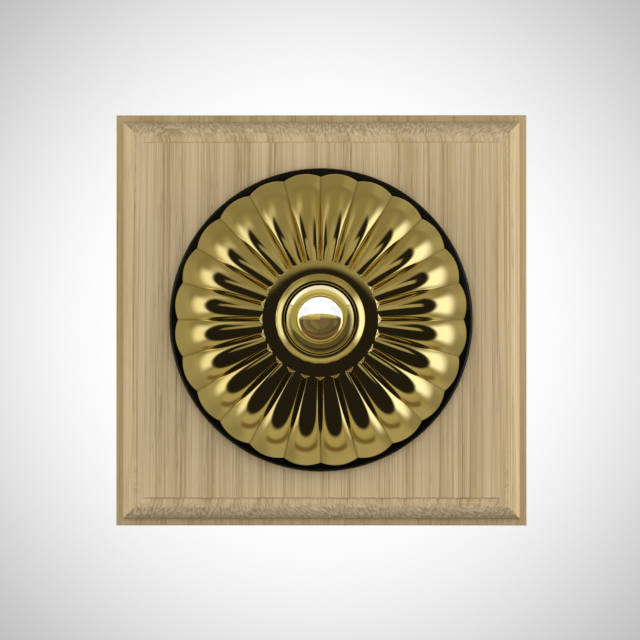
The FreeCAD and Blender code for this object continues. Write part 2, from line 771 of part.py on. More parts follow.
def contact_carrier():
    """The insulating carrier on the end of the stem, which holds the contact bridge."""
    tail = f"{BRIDGE_BOTTOM} - clip_thickness - carrier_tail"
    body = new_body("contact_carrier", tail)
    height = f"({CLIP_BOTTOM}) - ({tail})"
    groove_top = "carrier_tail + clip_thickness"
    waist = "carrier_neck_radius - clip_groove"
    revolve(body, [
        ("0", "0"),
        ("carrier_neck_radius", "0"),
        ("carrier_neck_radius", "carrier_tail"),
        (waist, "carrier_tail"),
        (waist, groove_top),
        ("carrier_neck_radius", groove_top),
        ("carrier_neck_radius", f"{height} - carrier_flange"),
        ("carrier_neck_radius + carrier_flange_width", f"{height} - carrier_flange"),
        ("carrier_neck_radius + carrier_flange_width", height),
        ("button_stem_radius", height),
        ("button_stem_radius", f"{height} - stem_grip"),
        ("0", f"{height} - stem_grip"),
    ])


def contact_bridge():
    """The moving bar that joins the two fixed contacts."""
    body = new_body("contact_bridge", BRIDGE_BOTTOM)
    bar = new_sketch(body, "XY_Plane")
    draw_outline(bar, rectangle("bridge_length / 2", "bridge_width / 2"))
    pad(body, bar, "bridge_thickness")
    drill(body, [("0", "0")], "carrier_neck_radius + bridge_gap", "bridge_thickness")
    drill(body, pair("tip_x"), "tip_rivet_radius", "bridge_thickness")


def contact_tips(label, level, rivet_level, rivet_length, head_level):
    """A pair of riveted contact tips."""
    body = new_body(label, level)
    head = new_sketch(body, "XY_Plane", head_level)
    draw_circle(head, "tip_x", "0", "tip_radius")
    pad(body, head, "tip_height")
    rivet = new_sketch(body, "XY_Plane", rivet_level)
    draw_circle(rivet, "tip_x", "0", "tip_rivet_radius")
    pad(body, rivet, rivet_length)
    repeat_round_axis(body, 2)


def fixed_contact_tips():
    """The tips on the strips, heads up."""
    contact_tips("fixed_contact_tips", STRIP_TOP, "-strip_thickness", "strip_thickness", "0")


def moving_contact_tips():
    """The tips on the bridge, heads down."""
    contact_tips("moving_contact_tips", BRIDGE_BOTTOM, "0", "bridge_thickness", "-tip_height")


def contact_strip(label, side):
    """A brass strip from a fixed contact to its terminal; side is 1 on the right and -1 on the left."""
    body = new_body(label, POCKET_FLOOR)
    inner = "strip_inner_x"
    outer = "(terminal_x + terminal_width / 2)"
    strip = new_sketch(body, "XY_Plane")
    middle = f"{side} * ({outer} + {inner}) / 2"
    draw_outline(strip, rectangle(f"({outer} - {inner}) / 2", "strip_width / 2", middle))
    pad(body, strip, "strip_thickness")
    drill(body, [(f"{side} * tip_x", "0")], "tip_rivet_radius", "strip_thickness")
    drill(body, [(f"{side} * terminal_x", "0")], "fixing_radius + screw_gap", "strip_thickness")


def terminal_block(label, side):
    """A brass terminal with a tunnel for the wire and threads for its clamp screw and its fixing screw."""
    body = new_body(label, STRIP_TOP)
    x = f"{side} * terminal_x"
    blank = new_sketch(body, "XY_Plane")
    draw_outline(blank, rectangle("terminal_width / 2", "terminal_depth / 2", x))
    block = pad(body, blank, "terminal_height")
    upright = [f"Edge{k}" for k, edge in enumerate(block.Shape.Edges, start=1)
               if abs(edge.tangentAt(edge.FirstParameter).z) > 0.9]
    corners = body.newObject("PartDesign::Fillet", f"{label}_corners")
    corners.Base = (block, upright)
    corners.setExpression("Radius", of_sheet("terminal_edge"))
    doc.recompute()
    tunnel = new_sketch(body, "XZ_Plane")
    draw_circle(tunnel, x, "terminal_height / 2", "terminal_wire_radius")
    pocket(body, tunnel)
    drill(body, [(x, "0")], "clamp_radius", "terminal_height", "terminal_height / 2")
    drill(body, [(x, "0")], "fixing_radius", "fixing_bite", f"fixing_bite + {CUT_OVER}")


def terminal_clamp_screws():
    """The two screws that clamp the wires."""
    body = new_body("terminal_clamp_screws", TERMINAL_TOP)
    cheese_head_screw(body, "terminal_x", "0", "clamp_radius", "terminal_height / 2",
                      "clamp_head_radius", "clamp_head_height")
    repeat_round_axis(body, 2)


def terminal_fixing_screws():
    """The two screws that hold the terminals and strips to the base from behind."""
    body = new_body("terminal_fixing_screws", "plinth_thickness + fixing_head_height")
    shank = new_sketch(body, "XY_Plane")
    draw_circle(shank, "terminal_x", "0", "fixing_radius")
    pad(body, shank, f"({STRIP_TOP}) - plinth_thickness - fixing_head_height + fixing_bite")
    head = new_sketch(body, "XY_Plane", "-fixing_head_height")
    draw_circle(head, "terminal_x", "0", "fixing_head_radius")
    pad(body, head, "fixing_head_height")
    slot(body, "terminal_x", "0", f"fixing_head_radius + {CUT_OVER}", "slot_depth - fixing_head_height")
    repeat_round_axis(body, 2)


def check_and_write():
    """Stops at a failed object or a bad shape, then writes one file for each piece."""
    doc.recompute()
    failed = [item.Name for item in doc.Objects if "Invalid" in item.State or "Error" in item.State]
    bad = [piece.Label for piece in finished if piece.Shape.isNull() or not piece.Shape.isValid()]
    if failed or bad:
        raise RuntimeError(f"failed objects {failed}, bad shapes {bad}")
    os.makedirs("parts", exist_ok=True)
    for piece in finished:
        piece.Shape.exportStep(os.path.join("parts", f"{piece.Label}.step"))


oak_plinth()
switch_base()
base_screws()
fluted_dome()
insulating_liner()
ring_nut()
threaded_bush()
bush_locknut()
bridge_bracket()
bracket_screws()
earth_screw()
earth_cup_washer()
for hand, side in (("left", -1), ("right", 1)):
    contact_strip(f"contact_strip_{hand}", side)
    terminal_block(f"terminal_block_{hand}", side)
fixed_contact_tips()
terminal_clamp_screws()
terminal_fixing_screws()
push_button()
return_spring()
button_clip()
contact_carrier()
contact_spring()
contact_bridge()
moving_contact_tips()
bridge_clip()
check_and_write()
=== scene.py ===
import json
import math

import bmesh
import bpy
from mathutils import Matrix, Vector

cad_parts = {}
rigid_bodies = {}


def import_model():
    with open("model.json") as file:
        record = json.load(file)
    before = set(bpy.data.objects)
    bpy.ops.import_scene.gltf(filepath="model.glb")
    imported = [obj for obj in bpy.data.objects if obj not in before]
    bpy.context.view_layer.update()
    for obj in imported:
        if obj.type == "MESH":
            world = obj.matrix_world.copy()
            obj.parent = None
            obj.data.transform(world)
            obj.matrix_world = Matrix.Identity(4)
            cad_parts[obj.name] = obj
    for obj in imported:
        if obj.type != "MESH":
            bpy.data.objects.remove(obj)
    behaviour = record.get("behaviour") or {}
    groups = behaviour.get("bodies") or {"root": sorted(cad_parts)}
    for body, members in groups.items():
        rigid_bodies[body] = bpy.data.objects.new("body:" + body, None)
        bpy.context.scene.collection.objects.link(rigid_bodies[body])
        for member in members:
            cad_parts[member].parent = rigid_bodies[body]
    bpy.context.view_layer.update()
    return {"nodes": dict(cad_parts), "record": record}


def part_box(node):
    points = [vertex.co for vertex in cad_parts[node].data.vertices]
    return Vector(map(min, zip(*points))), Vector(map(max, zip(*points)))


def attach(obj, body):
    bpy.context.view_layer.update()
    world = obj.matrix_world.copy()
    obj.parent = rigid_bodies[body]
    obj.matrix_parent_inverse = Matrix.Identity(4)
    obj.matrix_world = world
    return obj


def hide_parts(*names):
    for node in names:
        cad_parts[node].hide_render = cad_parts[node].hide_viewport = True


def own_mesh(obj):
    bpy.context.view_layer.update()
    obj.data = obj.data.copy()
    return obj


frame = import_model()
mm = 0.001  # the frame is in metres, the sizes below are in millimetres


class Sock:  # a socket of a node tree; sums on it add Math nodes
    def __init__(self, tree, socket=None):
        self.tree = tree
        self.socket = socket

    def node(self, kind, settings=None, links=None, out=0):  # settings first, then values or links
        made = self.tree.nodes.new(kind)
        for key, value in (settings or {}).items():
            setattr(made, key, value)
        for key, value in (links or {}).items():
            self.feed(made.inputs[key], value)
        return Sock(self.tree, made.outputs[out])

    def feed(self, target, value):  # a link, or a constant on the socket itself
        if isinstance(value, Sock):
            self.tree.links.new(value.socket, target)
        elif target.type == "RGBA" and len(value) == 3:
            target.default_value = (*value, 1)
        else:
            target.default_value = value

    def maths(self, operation, *values):
        return self.node("ShaderNodeMath", {"operation": operation}, dict(enumerate(values)))

    def __add__(self, other):
        return self.maths("ADD", self, other)

    def __radd__(self, other):
        return self.maths("ADD", other, self)

    def __sub__(self, other):
        return self.maths("SUBTRACT", self, other)

    def __rsub__(self, other):
        return self.maths("SUBTRACT", other, self)

    def __mul__(self, other):
        return self.maths("MULTIPLY", self, other)

    def __rmul__(self, other):
        return self.maths("MULTIPLY", other, self)

    def __truediv__(self, other):
        return self.maths("DIVIDE", self, other)

    def __rtruediv__(self, other):
        return self.maths("DIVIDE", other, self)

    def __pow__(self, other):
        return self.maths("POWER", self, other)

    def __rpow__(self, other):
        return self.maths("POWER", other, self)

    def __neg__(self):
        return self.maths("MULTIPLY", self, -1)

    def __abs__(self):
        return self.maths("ABSOLUTE", self)

    def atLeast(self, other):  # the larger of the two
        return self.maths("MAXIMUM", self, other)

    def step(self, low, high):  # 0 below low, 1 above high, smooth between
        return self.node("ShaderNodeMapRange", {"interpolation_type": "SMOOTHSTEP"},
                         {"Value": self, "From Min": low, "From Max": high})

    def paint(self, first, second):  # from the first colour at 0 to the second at 1
        return self.node("ShaderNodeMix", {"data_type": "RGBA"}, {0: self, 6: first, 7: second}, 2)

    def stretch(self, factors):  # a vector times a vector
        return self.node("ShaderNodeVectorMath", {"operation": "MULTIPLY"}, {0: self, 1: factors})

    def noise(self, scale=1.0, detail=2.0, roughness=0.5):
        return self.node("ShaderNodeTexNoise", {},
                         {"Vector": self, "Scale": scale, "Detail": detail, "Roughness": roughness})

    def sibling(self, name):  # another output of the same node
        return Sock(self.tree, self.socket.node.outputs[name])

    def parts(self):  # x, y and z of a vector
        split = self.node("ShaderNodeSeparateXYZ", {}, {0: self})
        return [split.sibling(k) for k in range(3)]

    def vector(self, x, y, z):
        return self.node("ShaderNodeCombineXYZ", {}, {0: x, 1: y, 2: z})

    def millimetres(self):  # the place on the piece, in millimetres
        return self.node("ShaderNodeTexCoord", out="Object").stretch((1 / mm, 1 / mm, 1 / mm))

    def bump(self, depth):  # depth in millimetres
        return self.node("ShaderNodeBump", {}, {"Strength": 1.0, "Distance": depth * mm, "Height": self})


def newMaterial(name, finish):  # finish gives the values and links of the main shader's sockets
    material = bpy.data.materials.new(name)
    material.use_nodes = True
    shader = material.node_tree.nodes["Principled BSDF"]
    start = Sock(material.node_tree)
    for key, value in finish(start).items():
        start.feed(shader.inputs[key], value)
    return material


# oak: straight vertical grain on the field, flecked end grain on the upper and lower mouldings
oak = {
    "pale": (0.615, 0.478, 0.284),
    "mid": (0.462, 0.340, 0.174),
    "deep": (0.300, 0.198, 0.078),
    "pore": (0.150, 0.098, 0.046),
    "startTone": 0.25,
    "lean": 0.80,  # how much the rings lean into the board
    "wander": 3.0,
    "wanderScale": (0.02, 0.02, 0.006),
    "bandWidth": 3.6,
    "bandDrift": 0.003,
    "bandEdge": (0.36, 0.66),
    "bandTone": 0.48,
    "bandSmooth": 0.08,
    "fibreScale": (3.4, 3.4, 0.020),
    "fibreEdge": (0.32, 0.68),
    "fibreTone": 0.66,
    "fibreRough": 0.14,
    "fibreRise": 0.5,
    "cloudScale": (0.04, 0.04, 0.015),
    "cloudTone": 0.40,
    "lineScale": 2.5,
    "lineDrift": 0.010,
    "lineSlice": 4.0,  # a slice of the noise other than the bands'
    "lineEdge": (0.55, 0.63),
    "lineTone": 0.22,
    "lineInBand": 0.38,
    "lineOnSide": 0.30,
    "lineSink": 0.5,
    "poreScale": (4.6, 4.6, 0.16),
    "poreEdge": (0.62, 0.72),
    "poreOutside": 0.3,  # share of the pores left outside the dark bands
    "poreTone": 0.28,
    "faceTurn": (0.05, 0.30),  # how far a face leans before its end or side grain shows
    "slantScale": (0.05, 0.01),
    "slantEdge": (0.30, 0.70),
    "fleckFoot": 33.0,  # at the moulding's foot: how far from the middle, less how far out
    "fleckScale": (2.5, 0.55),
    "fleckSlant": 1.7,
    "fleckApart": 9.0,  # the upper moulding's slice of the noise
    "fleckEdge": (0.40, 0.60),
    "fleckPale": (0.640, 0.510, 0.320),
    "fleckDeep": (0.330, 0.236, 0.116),
    "fleckTone": 0.70,
    "fleckSink": 0.7,
    # painted shade on the outer lip, where the ovolo's rise shades it
    "lipShadeStart": (46.1, 46.7),
    "lipPaintedShade": 0.45,
    "lipShadeBreak": (0.6, 0.8),
    "roughness": 0.58,
    "ior": 1.45,
    "grainDepth": 0.08,
}


def oakFinish(start):
    place = start.millimetres()
    x, y, z = place.parts()
    wander = place.stretch(oak["wanderScale"]).noise() - 0.5
    across = x + oak["lean"] * y + oak["wander"] * wander
    bands = start.vector(across / oak["bandWidth"], 0.0, z * oak["bandDrift"]).noise()
    fibre = place.stretch(oak["fibreScale"]).noise(detail=3.0, roughness=0.65)
    lines = start.vector(across * oak["lineScale"], oak["lineSlice"], z * oak["lineDrift"]).noise(detail=1.0)
    pores = place.stretch(oak["poreScale"]).noise(detail=1.5, roughness=0.45)
    clouds = place.stretch(oak["cloudScale"]).noise(detail=1.0)
    dark = bands.step(*oak["bandEdge"])
    thin = lines.step(*oak["lineEdge"])
    pitted = pores.step(*oak["poreEdge"]) * (oak["poreOutside"] + (1 - oak["poreOutside"]) * dark)
    normal = start.node("ShaderNodeTexCoord", out="Normal").parts()
    endGrain = abs(normal[2]).step(*oak["faceTurn"])
    sideGrain = abs(normal[0]).step(*oak["faceTurn"])
    slantX, slantZ = oak["slantScale"]
    slant = start.vector(x * slantX, 0.0, z * slantZ).noise(detail=1.0).step(*oak["slantEdge"]) * 2 - 1
    run = oak["fleckFoot"] - y - abs(z)  # from the foot of the moulding to its crest
    fleckAcross, fleckAlong = oak["fleckScale"]
    flecks = start.vector(x * fleckAcross + slant * run * oak["fleckSlant"], run * fleckAlong,
                          z.step(-1.0, 1.0) * oak["fleckApart"])
    flecks = flecks.noise(detail=1.5).step(*oak["fleckEdge"])
    # painted shade: the lip round the outside is mixed towards the deep colour, patchy with the fibre
    edge = abs(x).atLeast(abs(z)).step(*oak["lipShadeStart"])
    shadeShare, shadeByFibre = oak["lipShadeBreak"]
    tone = oak["bandTone"] * dark + oak["fibreTone"] * (fibre.step(*oak["fibreEdge"]) - 0.5)
    tone = tone + oak["cloudTone"] * (clouds - 0.5) + oak["startTone"]
    colour = tone.step(0.0, 1.0).paint(oak["pale"], oak["mid"])
    lineTone = oak["lineTone"] + oak["lineInBand"] * dark + oak["lineOnSide"] * sideGrain
    colour = (thin * lineTone).paint(colour, oak["deep"])
    colour = (pitted * oak["poreTone"]).paint(colour, oak["pore"])
    colour = (endGrain * oak["fleckTone"]).paint(colour, flecks.paint(oak["fleckPale"], oak["fleckDeep"]))
    colour = (edge * oak["lipPaintedShade"] * (shadeShare + shadeByFibre * fibre)).paint(colour, oak["deep"])
    height = oak["fibreRise"] * fibre - pitted - oak["lineSink"] * thin - oak["fleckSink"] * endGrain * flecks
    return {
        "Base Color": colour,
        "Roughness": oak["roughness"] + oak["fibreRough"] * fibre - oak["bandSmooth"] * dark,
        "IOR": oak["ior"],
        "Normal": height.bump(oak["grainDepth"]),
    }


# polished brass: the dome, nut, bush and button, duller and darker along the dome's creases
brass = {
    "bright": (0.910, 0.780, 0.420),
    "warm": (0.880, 0.720, 0.350),
    "cloudScale": 0.05,
    "cloudEdge": (0.35, 0.70),
    "darkBrass": (0.300, 0.190, 0.070),
    "creaseDarkening": 0.55,
    "speckScale": 1.6,
    "speckEdge": (0.73, 0.78),
    "speckTarnish": 0.12,
    "roughness": 0.060,
    "creaseRough": 0.25,
    "smearStretch": (0.5, 0.5, 3.5),
    "smearScale": 0.6,
    "smearEdge": (0.45, 0.85),
    "smearRough": 0.05,
    "rippleScale": 0.22,
    "rippleDepth": 0.012,
}


def polishedBrassFinish(start):
    place = start.millimetres()
    cloud = place.noise(brass["cloudScale"]).step(*brass["cloudEdge"])
    smear = place.stretch(brass["smearStretch"]).noise(brass["smearScale"], detail=3.0)
    smear = smear.step(*brass["smearEdge"])
    specks = place.noise(brass["speckScale"], detail=1.0).step(*brass["speckEdge"])
    hollow = start.node("ShaderNodeAttribute", {"attribute_name": "hollow"}, out="Fac")
    colour = cloud.paint(brass["bright"], brass["warm"])
    # darker and rougher along the dome's creases, with darker specks at random
    dull = hollow * brass["creaseDarkening"] + specks * brass["speckTarnish"]
    return {
        "Base Color": dull.paint(colour, brass["darkBrass"]),
        "Metallic": 1.0,
        "Roughness": brass["roughness"] + brass["smearRough"] * smear + brass["creaseRough"] * hollow,
        "Normal": place.noise(brass["rippleScale"], detail=1.0).bump(brass["rippleDepth"]),
    }


# the stock of the inner pieces, each with its own grain, and clouds on all but the silver
plainBrass = {
    "pale": (0.66, 0.46, 0.17),
    "dark": (0.47, 0.30, 0.10),
    "toneEdge": (0.3, 0.7),
    "grainTone": 0.4,  # the grain's share of the colour, the clouds have the rest
    "grainStretch": (0.25, 2.2, 2.2),
    "grain": (1.4, 3.0, 0.5),  # scale, detail, roughness of the noise
    "cloud": (0.12, 3.0),
    "metallic": 1.0,
    "roughness": (0.24, 0.20),
    "depth": 0.010,
}
platedSteel = {
    "pale": (0.62, 0.61, 0.58),
    "dark": (0.44, 0.43, 0.40),
    "toneEdge": (0.3, 0.7),
    "grainTone": 0.0,
    "grainStretch": (1.0, 4.0, 1.0),
    "grain": (1.2, 3.0, 0.5),
    "cloud": (0.2, 2.0),
    "metallic": 1.0,
    "roughness": (0.26, 0.18),
    "depth": 0.008,
}
silverContact = {
    "pale": (0.83, 0.82, 0.78),
    "dark": (0.55, 0.53, 0.48),
    "toneEdge": (0.35, 0.7),
    "grainStretch": (1.0, 1.0, 1.0),
    "grain": (1.5, 4.0, 0.5),
    "metallic": 1.0,
    "roughness": (0.22, 0.25),
    "depth": 0.010,
}
greyFibre = {
    "pale": (0.215, 0.205, 0.190),
    "dark": (0.135, 0.128, 0.120),
    "toneEdge": (0.35, 0.65),
    "grainTone": 0.5,
    "grainStretch": (1.0, 0.4, 1.0),
    "grain": (2.2, 5.0, 0.65),
    "cloud": (0.15, 2.0),
    "metallic": 0.0,
    "roughness": (0.78, 0.12),
    "depth": 0.030,
}


def stockFinish(stock):
    def finish(start):
        place = start.millimetres()
        grain = place.stretch(stock["grainStretch"]).noise(*stock["grain"])
        tone = grain
        if "cloud" in stock:
            tone = stock["grainTone"] * grain + (1 - stock["grainTone"]) * place.noise(*stock["cloud"])
        rough, roughMore = stock["roughness"]
        return {
            "Base Color": tone.step(*stock["toneEdge"]).paint(stock["pale"], stock["dark"]),
            "Metallic": stock["metallic"],
            "Roughness": rough + roughMore * grain,
            "Normal": grain.bump(stock["depth"]),
        }
    return finish


# black moulding: the glossy base and the carrier inside
mould = {
    "black": (0.0030, 0.0024, 0.0018),
    "worn": (0.0070, 0.0056, 0.0042),
    "sheen": 0.16,
    "roughness": 0.16,
    "flowScale": 0.09,
    "flowEdge": (0.40, 0.75),
    "flowTone": 0.6,
    "flowRough": 0.06,
    "flowRise": 0.7,
    "dustScale": 3.0,
    "dustEdge": (0.66, 0.76),
    "dustTone": 0.4,
    "dustRough": 0.12,
    "dustRise": 0.1,
    "depth": 0.02,
}


def blackMouldFinish(start):
    place = start.millimetres()
    flow = place.noise(mould["flowScale"], detail=3.0)
    dust = place.noise(mould["dustScale"]).step(*mould["dustEdge"])
    worn = flow.step(*mould["flowEdge"]) * mould["flowTone"] + dust * mould["dustTone"]
    return {
        "Base Color": worn.paint(mould["black"], mould["worn"]),
        "Roughness": mould["roughness"] + mould["flowRough"] * flow + mould["dustRough"] * dust,
        "Specular IOR Level": mould["sheen"],
        "Normal": (flow * mould["flowRise"] + dust * mould["dustRise"]).bump(mould["depth"]),
    }


finishes = {
    "oak": newMaterial("oak", oakFinish),
    "polished_brass": newMaterial("polishedBrass", polishedBrassFinish),
    "plain_brass": newMaterial("plainBrass", stockFinish(plainBrass)),
    "plated_steel": newMaterial("platedSteel", stockFinish(platedSteel)),
    "silver_contact": newMaterial("silverContact", stockFinish(silverContact)),
    "grey_fibre": newMaterial("greyFibre", stockFinish(greyFibre)),
    "black_base": newMaterial("blackBase", blackMouldFinish),
    "black_moulding": newMaterial("blackMoulding", blackMouldFinish),
}
slotOf = {row["node"]: row["material_slot"] for row in frame["record"]["subparts"]}
for name, node in frame["nodes"].items():
    node.data.materials.clear()
    node.data.materials.append(finishes[slotOf[name]])
print("finishes:", len(finishes))


sharpTurn = math.radians(30)  # edges that turn more than this stay sharp
cutterOver = 1.0  # how far a cutter stands out of the piece it cuts


def newPiece(name, mesh, node, body="switch_body"):  # a shown piece that stands for a node
    mesh.set_sharp_from_angle(angle=sharpTurn)
    piece = bpy.data.objects.new(name, mesh)
    bpy.context.scene.collection.objects.link(piece)
    mesh.materials.append(finishes[slotOf[node]])
    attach(piece, body)
    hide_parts(node)
    return piece


def atTurn(radius, out, turn):  # a place by its radius and its distance out of the wall
    return Vector((radius * math.cos(turn), -out, radius * math.sin(turn))) * mm


def ringsToMesh(name, rings, capped=False):  # joins rings in turn, capped at both ends or round to the first
    mesh = bpy.data.meshes.new(name)
    build = bmesh.new()
    made = [[build.verts.new(point) for point in ring] for ring in rings]
    for low, high in zip(made, made[1:] if capped else made[1:] + made[:1]):
        count = max(len(low), len(high))
        for k in range(count):
            following = (k + 1) % count
            corners = [low[k % len(low)], low[following % len(low)],
                       high[following % len(high)], high[k % len(high)]]
            corners = list(dict.fromkeys(corners))  # a ring of one point is a tip
            if len(corners) > 2:
                build.faces.new(corners)
    if capped:
        build.faces.new(made[-1])
        build.faces.new(made[0][::-1])
    bmesh.ops.recalc_face_normals(build, faces=build.faces)
    build.to_mesh(mesh)
    build.free()
    mesh.shade_smooth()
    return mesh


def lathe(name, profile, segments):  # turns an outline of (radius, out) about the axis
    turns = [2 * math.pi * k / segments for k in range(segments)]
    rings = []
    for radius, out in profile:
        ring = [atTurn(radius, out, turn) for turn in turns] if radius > 1e-6 else [atTurn(0, out, 0)]
        rings.append(ring)
    return ringsToMesh(name, rings)


def softCorner(before, corner, after, radius, steps=5):  # rounds one corner of an outline
    corner = Vector(corner)
    first = (Vector(before) - corner).normalized()
    last = (Vector(after) - corner).normalized()
    half = first.angle(last) / 2
    centre = corner + (first + last).normalized() * radius / math.sin(half)
    start = corner + first * radius / math.tan(half) - centre
    end = corner + last * radius / math.tan(half) - centre
    whole = start.angle(end)
    points = []
    for k in range(steps + 1):
        share = k / steps
        swept = start * math.sin(whole * (1 - share)) + end * math.sin(whole * share)
        points.append(tuple(centre + swept / math.sin(whole)))
    return points


def arc(centre, radius, first, last, steps):  # points of an outline on an arc, angles in degrees
    turns = [math.radians(first + (last - first) * k / steps) for k in range(steps + 1)]
    return [(centre[0] + radius * math.cos(turn), centre[1] + radius * math.sin(turn)) for turn in turns]


def arcThrough(start, end, radius, steps):  # the bulging arc from start to end, anticlockwise
    start, end = Vector(start), Vector(end)
    chord = end - start
    aside = Vector((-chord.y, chord.x)).normalized()
    centre = (start + end) / 2 + aside * math.sqrt(radius ** 2 - (chord.length / 2) ** 2)
    first = math.degrees(math.atan2(*(start - centre).yx))
    last = math.degrees(math.atan2(*(end - centre).yx))
    return arc(centre, radius, first, last, steps)


def cutWith(piece, cutters):  # takes closed meshes away from a piece
    for cutter in cutters:
        tool = bpy.data.objects.new("cutter", cutter)
        bpy.context.scene.collection.objects.link(tool)
        cut = piece.modifiers.new("cut", "BOOLEAN")
        cut.object = tool
        cut.solver = "EXACT"
        graph = bpy.context.evaluated_depsgraph_get()
        mesh = bpy.data.meshes.new_from_object(piece.evaluated_get(graph))
        piece.modifiers.clear()
        piece.data = mesh
        bpy.data.objects.remove(tool)
    piece.data.shade_smooth()
    piece.data.set_sharp_from_angle(angle=sharpTurn)


def drill(x, z, outline, segments=48):  # a turned cutter at a place on the face
    mesh = lathe("cutter", outline, segments)
    mesh.transform(Matrix.Translation((x * mm, 0, z * mm)))
    return mesh


def bothWays(x, z):  # a place and the one half a turn away
    return [(x, z), (-x, -z)]


# the plinth: lip, ovolo and quirk worked along four mitred sides, with softened arrises
plinth = {
    "lipWidth": 1.6,
    "lipOut": 12.9,
    "ovoloFoot": 13.4,
    "ovoloRadius": 5.0,
    "ovoloRows": 24,
    "lipArris": 0.30,
    "quirkArris": 0.21,
    "backArris": 0.45,
    "boreRadius": 23.0,
    "boreChamfer": 0.5,
    "boreSegments": 160,
    "wallHoleRadius": 2.1,
    "wallSinkRadius": 3.7,
    "wallHoleX": 30.15,
    "pilotRadius": 1.75,
    "pilotDepth": 13.0,
    "baseScrew": 18.98,
}


def buildPlinth():
    low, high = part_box("oak_plinth")
    half = high.x / mm
    front = -low.y / mm
    lip = half - plinth["lipWidth"]
    lipOut = plinth["lipOut"]
    crest = lip - plinth["ovoloRadius"]
    top = plinth["ovoloFoot"] + plinth["ovoloRadius"]
    outline = softCorner((0.0, 0.0), (half, 0.0), (half, lipOut), plinth["backArris"])
    outline += softCorner((half, 0.0), (half, lipOut), (lip, lipOut), plinth["lipArris"]) + [(lip, lipOut)]
    outline += arc((crest, plinth["ovoloFoot"]), plinth["ovoloRadius"], 0, 90, plinth["ovoloRows"])
    outline += softCorner((crest, top), (crest, front), (0.0, front), plinth["quirkArris"])
    corners = [(1, 1), (-1, 1), (-1, -1), (1, -1)]
    rings = [[Vector((sideX * r, -out, sideZ * r)) * mm for sideX, sideZ in corners] for r, out in outline]
    piece = newPiece("oakPlinth", ringsToMesh("oakPlinth", rings, capped=True), "oak_plinth")
    start, end = -cutterOver, front + cutterOver
    bore, chamfer = plinth["boreRadius"], plinth["boreChamfer"]
    cutters = [drill(0, 0, [(0, start), (bore + chamfer, start), (bore + chamfer, 0.0), (bore, chamfer),
                            (bore, end), (0, end)], plinth["boreSegments"])]
    hole, sink = plinth["wallHoleRadius"], plinth["wallSinkRadius"]
    for x, z in bothWays(plinth["wallHoleX"], 0):
        cutters.append(drill(x, z, [(0, start), (hole, start), (hole, front - (sink - hole)),
                                    (sink, front), (sink, end), (0, end)]))
    pilot, deep = plinth["pilotRadius"], front - plinth["pilotDepth"]
    for x, z in bothWays(plinth["baseScrew"], plinth["baseScrew"]):
        cutters.append(drill(x, z, [(0, deep), (pilot, deep), (pilot, end), (0, end)]))
    cutWith(piece, cutters)
    return piece


oakPlinth = buildPlinth()
oakPlinth.visible_glossy = False  # the brass shows the room, not the wood under it
print("plinth:", len(oakPlinth.data.polygons), "faces")


# the black base: a turned moulding with the pocket, wire holes and screw holes of the switch
base = {
    "segments": 256,
    "edgeRound": 1.5,
    "edgeRows": 14,
    "footRound": 0.35,
    "footRows": 5,
    "shelf": 6.0,
    "spigotRadius": 31.54,
    "pocketHalfX": 23.9,
    "pocketHalfZ": 4.9,
    "pocketDepth": 2.65,
    "wireHole": (-15.0, 10.0, 4.0),  # x, z, radius
    "baseScrew": (18.98, 1.95, 3.6, 2.0),  # x and z, shank radius, head radius, head depth
    "blindHoles": ((-5.0, 20.0, 1.5), (5.0, -20.0, 1.5), (-5.0, -20.0, 1.7)),  # bracket and earth screws
    "blindDepth": 5.0,
    "fixing": (20.0, 1.7, 2.9, 1.6),  # x, shank radius, head radius, head depth
}


def buildBase():
    low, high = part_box("switch_base")
    radius = high.x / mm
    back = -high.y / mm
    deck = -low.y / mm
    shelf = back + base["shelf"]
    spigot = base["spigotRadius"]
    foot, edge = base["footRound"], base["edgeRound"]
    profile = [(0.0, back)]
    profile += arc((radius - foot, back + foot), foot, -90, 0, base["footRows"])
    profile += arc((radius - edge, shelf - edge), edge, 0, 90, base["edgeRows"])
    profile += [(spigot, shelf), (spigot, deck), (0.0, deck)]
    piece = newPiece("blackBase", lathe("blackBase", profile, base["segments"]), "switch_base")
    start, end = back - cutterOver, deck + cutterOver
    pocket = bpy.data.meshes.new("cutter")
    build = bmesh.new()
    bmesh.ops.create_cube(build, size=1.0)
    for vert in build.verts:
        vert.co.x *= 2 * base["pocketHalfX"] * mm
        vert.co.z *= 2 * base["pocketHalfZ"] * mm
        vert.co.y = -(deck - base["pocketDepth"] if vert.co.y > 0 else end) * mm
    build.to_mesh(pocket)
    build.free()
    x, z, wire = base["wireHole"]
    spots = [(px, pz, wire, start, end) for px, pz in bothWays(x, z)]
    spot, shank, head, headDepth = base["baseScrew"]
    for px, pz in bothWays(spot, spot):
        spots += [(px, pz, shank, start, end), (px, pz, head, deck - headDepth, end)]
    spots += [(px, pz, size, deck - base["blindDepth"], end) for px, pz, size in base["blindHoles"]]
    spot, shank, head, headDepth = base["fixing"]
    for px, pz in bothWays(spot, 0):
        spots += [(px, pz, shank, start, end), (px, pz, head, start, back + headDepth)]
    cutters = [pocket]
    for px, pz, size, fromOut, toOut in spots:
        cutters.append(drill(px, pz, [(0, fromOut), (size, fromOut), (size, toOut), (0, toOut)]))
    cutWith(piece, cutters)
    return piece


blackBase = buildBase()
print("base:", len(blackBase.data.polygons), "faces")


# the dome: lobes round the axis with creases that start in a small fork below the nut
dome = {
    "lobes": 24,
    "acrossLobe": 20,
    "seatRadius": 10.6,
    "holeRadius": 7.95,
    "wall": 0.8,
    "creaseDepth": 1.45,
    "innerDepth": 1.0,  # the inner skin's creases, which clear the liner
    "creaseStart": 13.1,
    "creaseFull": 14.5,
    "endWall": 1.2,  # how steeply a crease starts
    "endBlend": 6,
    "scallop": 0.86,  # the creases' depth at the rim
    "scallopBlend": 6,
    "flankTilt": 61.0,
    "flankShare": 0.7,  # the flank's share of the rows below the ellipse, the skirt has the rest
    "skirtSoft": 0.14,
    "seatRows": 8,
    "startRows": 22,
    "startOver": 0.01,  # radians past the full depth that the close rows reach
    "sideRows": 56,
    "flankRows": 20,
    "innerRows": 24,
}


